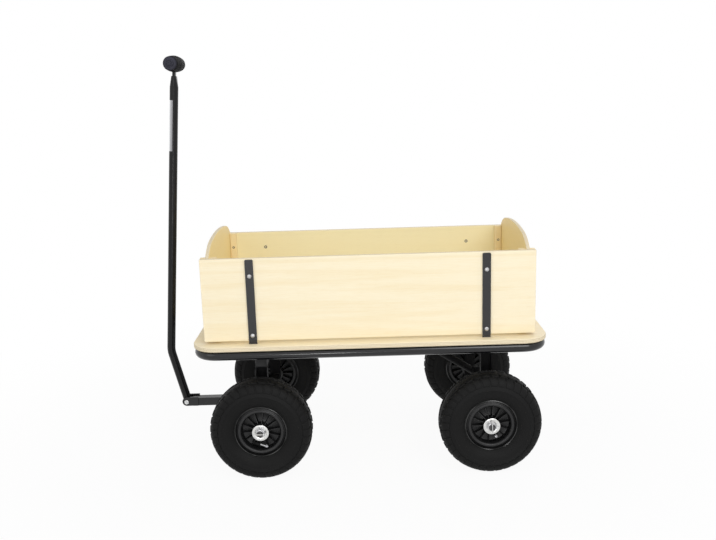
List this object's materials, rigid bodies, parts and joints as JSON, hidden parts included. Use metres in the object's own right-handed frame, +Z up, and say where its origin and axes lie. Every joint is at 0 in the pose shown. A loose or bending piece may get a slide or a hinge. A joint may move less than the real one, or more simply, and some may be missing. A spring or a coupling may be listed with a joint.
{
  "type": "wooden pull wagon",
  "caption": "Wooden pull wagon: plywood box on a deck with tubular steel frame, steered front axle, air tyres and a cranked T-grip handle.",
  "frame": {"origin": "on the floor under the middle of the wagon's overall box", "axes": "+X forward towards the pull handle, +Y to the wagon's left, +Z up"},
  "size_m": [1.0102, 0.5346, 1.0648],
  "materials": {
    "plywood": "clear satin lacquer",
    "black_paint": "satin powder coat",
    "tyre_rubber": "matt",
    "black_nylon": "moulded",
    "zinc_steel": "zinc plated",
    "grip_plastic": "ribbed"
  },
  "bodies": {
    "chassis": {"corner_battens_front_left": "plywood", "corner_battens_front_right": "plywood", "corner_battens_rear_left": "plywood", "corner_battens_rear_right": "plywood", "crossmember_front": "black_paint", "crossmember_middle": "black_paint", "crossmember_rear": "black_paint", "deck": "plywood", "end_board_front": "plywood", "end_board_rear": "plywood", "frame_rail": "black_paint", "kingpin": "zinc_steel", "rear_axle": "zinc_steel", "rear_axle_housing": "black_paint", "rear_axle_nuts": "zinc_steel", "rear_leg_left": "black_paint", "rear_leg_right": "black_paint", "rear_stay": "black_paint", "rear_stay_post": "black_paint", "side_board_left": "plywood", "side_board_right": "plywood", "stake_front_left": "black_paint", "stake_front_right": "black_paint", "stake_rear_left": "black_paint", "stake_rear_right": "black_paint", "turntable_upper": "black_paint"},
    "steering": {"turntable_lower": "black_paint", "front_beam": "black_paint", "front_leg_left": "black_paint", "front_leg_right": "black_paint", "front_axle": "zinc_steel", "front_axle_nuts": "zinc_steel", "front_axle_housing": "black_paint", "tongue": "black_paint", "tongue_clevis": "black_paint", "tongue_brace_left": "black_paint", "tongue_brace_right": "black_paint", "clevis_bolt": "zinc_steel"},
    "handle": {"handle_grip": "grip_plastic", "handle_tube": "black_paint"},
    "wheel_front_left": {"rim_front_left": "black_nylon", "tyre_front_left": "tyre_rubber"},
    "wheel_front_right": {"rim_front_right": "black_nylon", "tyre_front_right": "tyre_rubber"},
    "wheel_rear_left": {"rim_rear_left": "black_nylon", "tyre_rear_left": "tyre_rubber"},
    "wheel_rear_right": {"rim_rear_right": "black_nylon", "tyre_rear_right": "tyre_rubber"}
  },
  "joints": [
    {"name": "steering_turn", "type": "hinge", "parent": "chassis", "child": "steering", "pos_m": [0.22686, 0, 0.3032], "axis": [0, 0, 1], "range_deg": [-40, 40]},
    {"name": "handle_swing", "type": "hinge", "parent": "steering", "child": "handle", "pos_m": [0.45936, 0, 0.1265], "axis": [0, 1, 0], "range_deg": [-5, 97]},
    {"name": "wheel_front_left_spin", "type": "hinge", "parent": "steering", "child": "wheel_front_left", "pos_m": [0.22686, 0.219, 0.13], "axis": [0, 1, 0], "continuous": true},
    {"name": "wheel_front_right_spin", "type": "hinge", "parent": "steering", "child": "wheel_front_right", "pos_m": [0.22686, -0.219, 0.13], "axis": [0, 1, 0], "continuous": true},
    {"name": "wheel_rear_left_spin", "type": "hinge", "parent": "chassis", "child": "wheel_rear_left", "pos_m": [-0.35514, 0.219, 0.13], "axis": [0, 1, 0], "continuous": true},
    {"name": "wheel_rear_right_spin", "type": "hinge", "parent": "chassis", "child": "wheel_rear_right", "pos_m": [-0.35514, -0.219, 0.13], "axis": [0, 1, 0], "continuous": true}
  ]
}
